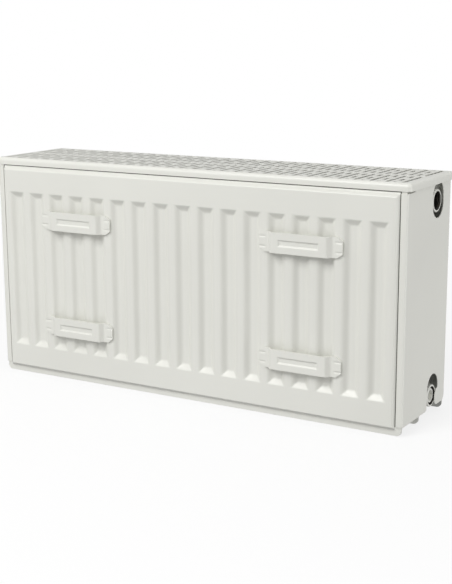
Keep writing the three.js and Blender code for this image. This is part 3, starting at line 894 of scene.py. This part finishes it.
def lower_notch(bottom):
    """The cover's opening round the lower connection, from its front foot to its rear foot."""
    top = PORT_HEIGHTS["lower"] + LOWER_HOLE_RISE
    rear = PORT_DEPTH - COVER_HOLE
    lobe = PORT_DEPTH + COVER_HOLE - LOBE_REACH
    path = arc((lobe + LOBE_CENTRE, bottom + LOBE_RADIUS), LOBE_RADIUS, -90, -180, 6)
    path += [(lobe + y, bottom + z) for y, z in LOBE_EDGE]
    path += arc((PORT_DEPTH, top), COVER_HOLE, LOWER_HOLE_START, 180, 24)
    path += [(rear, bottom + FOOT_RADIUS + FOOT_STRAIGHT)]
    path += arc((rear - FOOT_RADIUS, bottom + FOOT_RADIUS), FOOT_RADIUS, 0, -90, 4)
    return path


def upper_notch(top):
    """The cover's opening round the upper connection, from its rear shoulder to its front one."""
    low = PORT_HEIGHTS["upper"] - UPPER_HOLE_DROP
    high = low + UPPER_HOLE_STRAIGHT
    shoulder = math.degrees(math.asin((top - high) / COVER_HOLE))
    path = arc((PORT_DEPTH, high), COVER_HOLE, 180 - shoulder, 180, 5)
    path += arc((PORT_DEPTH, low), COVER_HOLE, 180, 360, 24)
    path += arc((PORT_DEPTH, high), COVER_HOLE, 0, shoulder, 5)
    return path


def side_cover(node, side):
    """A cut-out face with a rounded bend and a flange along its rear and its front edge."""
    low_y, high_y = span(node, 1)
    low_z, high_z = span(node, 2)
    outer = max(abs(x) for x in span(node, 0))
    edge = min(abs(x) for x in span(node, 0))
    rear, front = low_y + COVER_BEND, high_y - COVER_BEND
    levels = steps(low_z + COVER_CORNER, high_z, 12)
    shoulder = high_z - SHOULDER_DROP
    rear_levels = [*steps(low_z, low_z + 4, 2), *levels[:-1], shoulder]
    shoulder_end = rear + SHOULDER_LENGTH
    corner = arc((front - COVER_CORNER, low_z + COVER_CORNER), COVER_CORNER, -90, 0, 6)
    outline = [
        *((rear, z) for z in reversed(rear_levels)),
        *reversed(lower_notch(low_z)),
        *corner[:-1],
        *((front, z) for z in levels),
        *reversed(upper_notch(high_z)),
        (shoulder_end + SHOULDER_RAMP, high_z),
        (shoulder_end, shoulder),
    ]
    places, faces = filled(outline)
    parts = [mesh_of([(outer, y, z) for y, z in places], faces)]
    for bend_y, turn, heights in ((rear, -1, rear_levels), (front, 1, levels)):
        path = arc((outer - COVER_BEND, bend_y), COVER_BEND, 0, turn * 90, 6)
        path.append((edge, bend_y + turn * COVER_BEND))
        points = [(x, y, z) for z in heights for x, y in path]
        parts.append(mesh_of(points, grid_faces(len(heights), len(path))))
    mesh = tidy(joined(parts), 1e-3)
    if side < 0:
        mirrored(mesh)
    return finish_piece(node, mesh, "white_enamel", COVER_SHEET, 0.25, 50)


def side_covers():
    """The covers of both ends."""
    for side_name, side in SIDES.items():
        side_cover(f"side_cover_{side_name}", side)


# ---- Top grille --------------------------------------------------------------------------
GRILLE_SHEET = 1
GRILLE_BEND = 5
GRILLE_CORNER = 5.4
SLOT_HALF_WIDTH = 2.1
SLOT_PITCH = 10
SLOT_COLUMNS_PER_SIDE = 29
SLOT_ROW_PITCH = 27
SLOT_BRIDGE = 8
SLOT_REACH = 64

# A clip's lips turn out below, it is narrowest at its waist and parallel above its shoulder.
CLIP_SHEET = 0.8
CLIP_WAIST = 2.5
CLIP_SHOULDER = 6
CLIP_BEND = 1.2


def slot_spans(is_long):
    """Starts and ends of a column's slots, measured from the grille's middle: two long slots
    or six short ones."""
    if is_long:
        return [(-SLOT_REACH, -SLOT_BRIDGE / 2), (SLOT_BRIDGE / 2, SLOT_REACH)]
    stops = [-SLOT_REACH - SLOT_BRIDGE / 2]
    stops += [row * SLOT_ROW_PITCH for row in (-2, -1, 0, 1, 2)]
    stops.append(SLOT_REACH + SLOT_BRIDGE / 2)
    return [(a + SLOT_BRIDGE / 2, b - SLOT_BRIDGE / 2) for a, b in zip(stops, stops[1:])]


def slot_outline(x, start, end):
    """A slot with round ends along Y."""
    radius = SLOT_HALF_WIDTH
    near = arc((x, start + radius), radius, 180, 360, 8)
    far = arc((x, end - radius), radius, 0, 180, 8)
    return near + far


def in_slot(point):
    """Whether a place measured from the grille's middle lies in a slot."""
    column = round(point.x / SLOT_PITCH)
    off = point.x - column * SLOT_PITCH
    if abs(column) > SLOT_COLUMNS_PER_SIDE:
        return False
    for start, end in slot_spans(column % 2 != 0):
        along = min(max(point.y, start + SLOT_HALF_WIDTH), end - SLOT_HALF_WIDTH)
        if math.hypot(off, point.y - along) < SLOT_HALF_WIDTH:
            return True
    return False


def rounded_outline(half_x, half_y, radius, count=5):
    """A rounded rectangle's points, with equally many at every inset."""
    path = []
    corners = ((1, 1, 0), (-1, 1, 90), (-1, -1, 180), (1, -1, 270))
    for sign_x, sign_y, start in corners:
        centre = (sign_x * (half_x - radius), sign_y * (half_y - radius))
        path += arc(centre, radius, start, start + 90, count)
    return path


def top_grille(node):
    """The slotted plate with its rounded edge and its lip all round."""
    low_y, high_y = span(node, 1)
    bottom, top = span(node, 2)
    half_x = span(node, 0)[1]
    half_y = (high_y - low_y) / 2
    middle = (low_y + high_y) / 2
    columns = range(-SLOT_COLUMNS_PER_SIDE, SLOT_COLUMNS_PER_SIDE + 1)
    spans = [(i * SLOT_PITCH, slot_spans(i % 2 != 0)) for i in columns]
    slots = [slot_outline(x, *ends) for x, column in spans for ends in column]
    rim = rounded_outline(
        half_x - GRILLE_BEND, half_y - GRILLE_BEND, GRILLE_CORNER - GRILLE_BEND
    )
    places, faces = filled(rim, slots, in_slot)
    plate = mesh_of([(x, middle + y, top) for x, y in places], faces)
    loops = []
    for angle in steps(0, 90, 6):
        drawn = GRILLE_BEND * (1 - math.sin(math.radians(angle)))
        drop = GRILLE_BEND * (1 - math.cos(math.radians(angle)))
        loop = rounded_outline(half_x - drawn, half_y - drawn, GRILLE_CORNER - drawn)
        loops.append([(x, middle + y, top - drop) for x, y in loop])
    last = loops[-1]
    loops.append([(x, y, bottom) for x, y, _ in last])
    points = [point for loop in loops for point in loop]
    skirt = mesh_of(points, grid_faces(len(loops), len(last), closed=True))
    mesh = tidy(joined([plate, skirt]), 1e-3)
    return finish_piece(node, mesh, "white_enamel", GRILLE_SHEET, 0.22, 50)


def grille_clip(node):
    """A spring steel strip bent into a U with its lips turned out."""
    low_x, high_x = span(node, 0)
    low_y, high_y = span(node, 1)
    low_z, high_z = span(node, 2)
    half = (high_y - low_y) / 2
    neck = half - CLIP_SHEET
    corners = [
        (-half, low_z),
        (-neck, low_z + CLIP_WAIST),
        (-half, low_z + CLIP_SHOULDER),
        (-half, high_z),
    ]
    corners += [(-y, z) for y, z in reversed(corners)]
    path = rounded_path(corners, CLIP_BEND)
    widths = steps(low_x, high_x, 4)
    middle = (low_y + high_y) / 2
    points = [(x, middle + y, z) for x in widths for y, z in path]
    mesh = tidy(mesh_of(points, grid_faces(len(widths), len(path))))
    return finish_piece(node, mesh, "spring_steel", CLIP_SHEET, 0.15, 50)


def grille():
    """The top grille with its four clips."""
    top_grille("top_grille")
    for place in ("outer_left", "inner_left", "inner_right", "outer_right"):
        grille_clip(f"grille_clip_{place}")


# ---- Plugs and air vent ------------------------------------------------------------------
# A cutting tool starts this far outside what it cuts.
TOOL_PAST = 1

# The blanking plug: its stem lies THREAD_INSET inside the node's radius, under the thread, and
# has a hexagon socket.
THREAD_INSET = 0.75
PLUG_CHAMFER = 0.8
PLUG_RIDGE = 0.75
PLUG_THREAD_MARGIN = 0.5
SOCKET_RADIUS = 6.2
SOCKET_DEPTH = 9

SEAL_WIDTH = 2.6
SEAL_POINTS = 20

# The vent: a nickel plug that is seated on the connection, a plastic collar with an outlet
# nozzle, and a brass bleed screw with a slotted square key.
VENT_BORE = 3.2
VENT_STEM = THREAD_RADIUS - 1.2
VENT_RIDGE = 0.85
VENT_HEAD = 2.4
VENT_NECK = 0.6
COLLAR_PLATE = 1.3
COLLAR_BORE = 3.1
NOZZLE_RADIUS = 1.8
NOZZLE_BORE = 0.8
NOZZLE_DROP = 5.2
SCREW_RADIUS = 2.6
SCREW_TIP = 0.9
KEY_HEIGHT = 0.9
KEY_HALF = 1.7
KEY_SLOT_DEPTH = 0.35
KEY_SLOT_SIDE = 6
KEY_SLOT_SQUEEZE = 0.06


def prism(sides, radius, start, end, chamfer=0):
    """A closed prism along X."""
    return rod(radius, start, end, chamfer, sides)


def outward_span(node):
    """A node's span along X measured outwards from the middle."""
    return sorted(abs(x) for x in span(node, 0))


def radius_of(node):
    """Half the width of a round node on a connection's axis."""
    low, high = span(node, 1)
    return (high - low) / 2


def blanking_plug(node):
    """A flush plug with a hexagon socket."""
    start, face = outward_span(node)
    radius = radius_of(node) - THREAD_INSET
    stem = rod(radius, start, face, PLUG_CHAMFER)
    socket = prism(6, SOCKET_RADIUS, face - SOCKET_DEPTH, face + TOOL_PAST)
    body = boolean(stem, socket, "DIFFERENCE")
    first, last = start + PLUG_THREAD_MARGIN, face - PLUG_THREAD_MARGIN
    mesh = joined([body, thread(first, last, radius, PLUG_RIDGE)])
    return finish_piece(node, at_port(mesh, "lower"), "white_enamel")


def sealing_ring(node, side, level):
    """A flat rubber ring with rounded edges."""
    start, end = outward_span(node)
    outer = radius_of(node)
    inner = WATERWAY_RADIUS if level == "lower" else outer - SEAL_WIDTH
    half = (end - start) / 2
    middle, centre = (start + end) / 2, (outer + inner) / 2
    reach = (outer - inner) / 2
    profile = []
    for i in range(SEAL_POINTS):
        turn = 2 * math.pi * i / SEAL_POINTS
        across = math.copysign(abs(math.cos(turn)) ** 0.5, math.cos(turn))
        along = math.copysign(abs(math.sin(turn)) ** 0.5, math.sin(turn))
        profile.append((middle + half * along, centre + reach * across))
    mesh = at_port(lathe(profile, closed=True), level, side)
    return finish_piece(node, mesh, "seal_rubber")


def vent_plug(node):
    """Up the stem, out over the seat and the head, and back along the bore."""
    start, head = outward_span(node)
    radius = radius_of(node)
    seat = head - VENT_HEAD
    body = lathe(
        [
            (start, VENT_BORE),
            (start, VENT_STEM - 0.8),
            (start + 0.8, VENT_STEM),
            (seat - 1.4, VENT_STEM),
            (seat - 1.1, VENT_STEM - VENT_NECK),
            (seat, VENT_STEM - VENT_NECK),
            (seat, radius - 0.3),
            (seat + 0.3, radius),
            (head - 0.9, radius),
            (head - 0.3, radius - 0.5),
            (head - 0.3, radius - 2.6),
            (head, radius - 3.0),
            (head, VENT_BORE),
        ],
        closed=True,
    )
    mesh = joined([body, thread(start + 0.4, seat - 1.2, VENT_STEM, VENT_RIDGE)])
    return finish_piece(node, at_port(mesh, "upper", -1), "nickel")


def vent_collar(node):
    """A dished plate round the bleed screw, with a short outlet nozzle below it."""
    start, reach = outward_span(node)
    radius = radius_of(node)
    plate_face = start + COLLAR_PLATE
    plate = lathe(
        [
            (start, COLLAR_BORE),
            (start, radius - 0.2),
            (start + 0.2, radius),
            (plate_face - 0.4, radius),
            (plate_face, radius - 0.4),
            (plate_face, radius - 1.4),
            (plate_face - 0.25, radius - 1.6),
            (plate_face - 0.25, COLLAR_BORE + 0.5),
            (plate_face, COLLAR_BORE),
        ],
        closed=True,
    )
    nozzle = lathe(
        [
            (start + 0.4, NOZZLE_BORE),
            (start + 0.4, NOZZLE_RADIUS),
            (reach - 0.1, NOZZLE_RADIUS),
            (reach, NOZZLE_RADIUS - 0.1),
            (reach, NOZZLE_BORE),
        ],
        24,
        closed=True,
    )
    mesh = joined([plate, moved(nozzle, z=-NOZZLE_DROP)])
    return finish_piece(node, at_port(mesh, "upper", -1), "white_plastic")


def bleed_screw(node):
    """A shank with a cone tip, and a slotted square key at its outer end."""
    start, reach = outward_span(node)
    shoulder = reach - KEY_HEIGHT
    radius = SCREW_RADIUS - 0.2
    shank = lathe(
        [
            (start, 0),
            (start, SCREW_TIP),
            (start + 2.2, radius),
            (start + 2.6, radius),
            (shoulder - 0.3, radius),
            (shoulder, radius - 0.3),
            (shoulder, 0),
        ],
        32,
    )
    key = prism(4, KEY_HALF * math.sqrt(2), shoulder - 0.5, reach, 0.12)
    key.transform(Matrix.Rotation(math.pi / 4, 4, "X"))
    slot = prism(4, KEY_SLOT_SIDE, reach - KEY_SLOT_DEPTH, reach + TOOL_PAST)
    slot.transform(Matrix.Rotation(math.pi / 4, 4, "X"))
    slot.transform(Matrix.Scale(KEY_SLOT_SQUEEZE, 4, (0, 1, 0)))
    head = boolean(key, slot, "DIFFERENCE")
    return finish_piece(node, at_port(joined([shank, head]), "upper", -1), "brass")


def plugs():
    """The plug in the lower right connection and the vent in the upper left one."""
    blanking_plug("blanking_plug")
    sealing_ring("blanking_plug_seal", 1, "lower")
    sealing_ring("vent_plug_seal", -1, "upper")
    vent_plug("vent_plug")
    vent_collar("vent_collar")
    bleed_screw("bleed_screw")


# ---- Stage, light and camera -------------------------------------------------------------
# Lengths are in metres from here on, apart from CAMERA_PLACE.
FLOOR_RADIUS = 45
FLOOR_DROP = 0.0005
FLOOR_TONE = 0.92
BACKDROP_HEIGHT = 14
BACKDROP_SINK = 0.5

# The floor turns into even white between these distances from the object, and glows by
# FLOOR_GLOW under it.
FADE_START = 0.35
FADE_END = 1.5
FLOOR_GLOW = 0.8

# The sky's strength below and above these heights of a view direction.
SKY_LOW = -0.5
SKY_HIGH = 0.7
SKY_BELOW = 0.34
SKY_ABOVE = 0.6

# Name, place, size and power in watts.
SOFTBOXES = [
    ("key", (-0.5, -1.8, 1.8), 1.2, 34.5),
    ("fill", (2.2, 0.1, 0.1), 1.2, 14.2),
    ("bounce", (-0.3, -0.9, -0.35), 0.8, 1.2),
]
LIGHT_TARGET = Vector((0, 0, 0.15))

# Place in the layout's millimetres, turn in radians and lens in millimetres, from a camera fitted
# to the grooves and edges that the photograph shows.
CAMERA_PLACE = Vector((819.2, -1270.3, 475.1))
CAMERA_TURN = (1.3543, 0.0053, 0.5357)
CAMERA_LENS = 75.23


def seen_only(obj):
    """The stage is seen by the camera but throws no light back on the object."""
    obj.visible_diffuse = False
    obj.visible_glossy = False
    obj.visible_shadow = False


def glowing(nodes):
    """White light of its own, for the stage."""
    glow = nodes.new("ShaderNodeEmission")
    glow.inputs["Color"].default_value = (1, 1, 1, 1)
    return glow.outputs["Emission"]


def floor():
    """A pale floor that fades to the backdrop's white away from the object."""
    bpy.ops.mesh.primitive_circle_add(vertices=96, radius=FLOOR_RADIUS, fill_type="NGON")
    plane = bpy.context.object
    plane.name = "floor"
    plane.location.z = -FLOOR_DROP
    material, nodes, links, shader = new_material("pale_floor")
    shader.inputs["Base Color"].default_value = (FLOOR_TONE, FLOOR_TONE, FLOOR_TONE, 1)
    shader.inputs["Roughness"].default_value = 0.8
    place = nodes.new("ShaderNodeTexCoord")
    away = nodes.new("ShaderNodeVectorMath")
    away.operation = "LENGTH"
    links.new(place.outputs["Object"], away.inputs[0])
    fade = nodes.new("ShaderNodeMapRange")
    fade.interpolation_type = "SMOOTHSTEP"
    fade.inputs["From Min"].default_value = FADE_START
    fade.inputs["From Max"].default_value = FADE_END
    fade.inputs["To Min"].default_value = FLOOR_GLOW
    links.new(away.outputs["Value"], fade.inputs["Value"])
    mix = nodes.new("ShaderNodeMixShader")
    links.new(fade.outputs["Result"], mix.inputs["Fac"])
    links.new(shader.outputs["BSDF"], mix.inputs[1])
    links.new(glowing(nodes), mix.inputs[2])
    links.new(mix.outputs["Shader"], nodes["Material Output"].inputs["Surface"])
    plane.data.materials.append(material)
    seen_only(plane)


def backdrop():
    """A white wall all round, far behind the object."""
    bpy.ops.mesh.primitive_cylinder_add(
        vertices=96, radius=FLOOR_RADIUS, depth=BACKDROP_HEIGHT, end_fill_type="NOTHING"
    )
    wall = bpy.context.object
    wall.name = "backdrop"
    wall.location.z = BACKDROP_HEIGHT / 2 - BACKDROP_SINK
    material, nodes, links, _ = new_material("white_backdrop")
    links.new(glowing(nodes), nodes["Material Output"].inputs["Surface"])
    wall.data.materials.append(material)
    seen_only(wall)


def studio_world():
    """Even light from all round, stronger from above."""
    world = bpy.data.worlds.new("studio")
    bpy.context.scene.world = world
    world.use_nodes = True
    nodes, links = world.node_tree.nodes, world.node_tree.links
    place = nodes.new("ShaderNodeTexCoord")
    parts = nodes.new("ShaderNodeSeparateXYZ")
    links.new(place.outputs["Generated"], parts.inputs["Vector"])
    height = nodes.new("ShaderNodeMapRange")
    height.inputs["From Min"].default_value = SKY_LOW
    height.inputs["From Max"].default_value = SKY_HIGH
    height.inputs["To Min"].default_value = SKY_BELOW
    height.inputs["To Max"].default_value = SKY_ABOVE
    links.new(parts.outputs["Z"], height.inputs["Value"])
    links.new(height.outputs["Result"], nodes["Background"].inputs["Strength"])
    nodes["Background"].inputs["Color"].default_value = (1, 1, 1, 1)


def softbox(name, place, size, power):
    """A square area light that faces the middle of the object."""
    light = bpy.data.lights.new(name, "AREA")
    light.shape = "SQUARE"
    light.size = size
    light.energy = power
    lamp = bpy.data.objects.new(name, light)
    lamp.location = place
    aim = LIGHT_TARGET - Vector(place)
    lamp.rotation_euler = aim.to_track_quat("-Z", "Y").to_euler()
    bpy.context.scene.collection.objects.link(lamp)


def studio_light():
    """The sky and the softboxes."""
    studio_world()
    for values in SOFTBOXES:
        softbox(*values)


def camera():
    """The photograph's viewing angle, from the wall side and the right-hand end."""
    data = bpy.data.cameras.new("camera")
    data.lens = CAMERA_LENS
    data.sensor_width = 36
    data.clip_end = 100
    eye = bpy.data.objects.new("camera", data)
    eye.location = (ORIGIN + CAMERA_PLACE) * MM
    eye.rotation_euler = CAMERA_TURN
    bpy.context.scene.collection.objects.link(eye)
    bpy.context.scene.camera = eye


# ---- The radiator ------------------------------------------------------------------------
water_panels()
convectors()
connections()
hanging_lugs()
side_covers()
grille()
plugs()
floor()
backdrop()
studio_light()
camera()
bpy.context.scene.view_settings.view_transform = "Standard"

bpy.context.view_layer.update()
